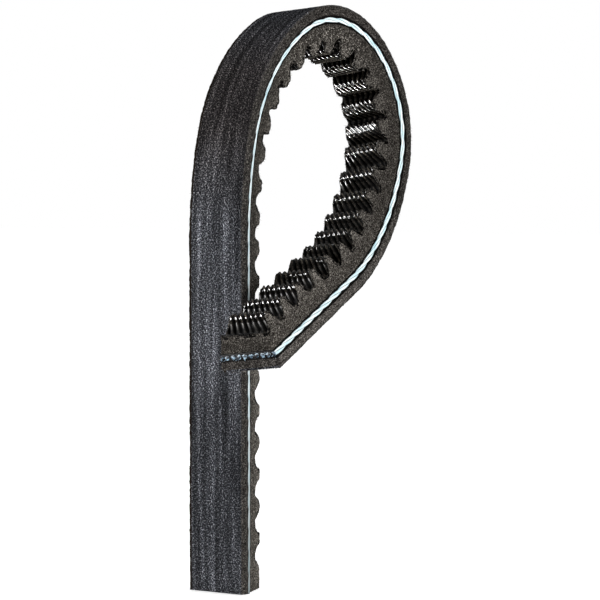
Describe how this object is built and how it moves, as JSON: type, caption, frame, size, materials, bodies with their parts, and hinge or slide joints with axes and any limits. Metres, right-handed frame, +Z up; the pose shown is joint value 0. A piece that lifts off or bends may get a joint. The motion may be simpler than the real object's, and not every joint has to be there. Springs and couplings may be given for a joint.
{
  "type": "v belt",
  "caption": "Cut length of raw-edge cogged V belt, stood on end and curled over into a loop, with its tensile cords showing on the flanks and cut ends.",
  "frame": {"origin": "on the pitch line (the middle of the tensile cords), in the middle of the upright run's cut lower end", "axes": "+Z up along the upright run; +X from the back fabric to the cogs of that run; -Y is the side that the loose tail passes on"},
  "size_m": [0.0658, 0.0279, 0.1141],
  "materials": {
    "back_fabric": "rubberised canvas, charcoal, matt, fine speckle",
    "inner_fabric": "rubberised canvas, seen only at its cut edges",
    "tension_rubber": "raw-cut fibre-loaded rubber, brown-black, matt",
    "cushion_gum": "soft black gum, seen as thin lines beside the cords",
    "cord": "twisted polyester cord, pale ice blue",
    "compression_rubber": "raw-cut fibre-loaded rubber, brown-black, matt",
    "cog_fabric": "ribbed facing fabric, black, slightly glossy"
  },
  "bodies": {
    "root": {"outer_back_fabric": "back_fabric", "inner_back_fabric": "inner_fabric", "tension_rubber": "tension_rubber", "upper_cushion_gum": "cushion_gum", "lower_cushion_gum": "cushion_gum", "compression_rubber": "compression_rubber", "cog_fabric": "cog_fabric", "tensile_cord_01": "cord", "tensile_cord_02": "cord", "tensile_cord_03": "cord", "tensile_cord_04": "cord", "tensile_cord_05": "cord", "tensile_cord_06": "cord", "tensile_cord_07": "cord", "tensile_cord_08": "cord", "tensile_cord_09": "cord", "tensile_cord_10": "cord"}
  },
  "joints": []
}
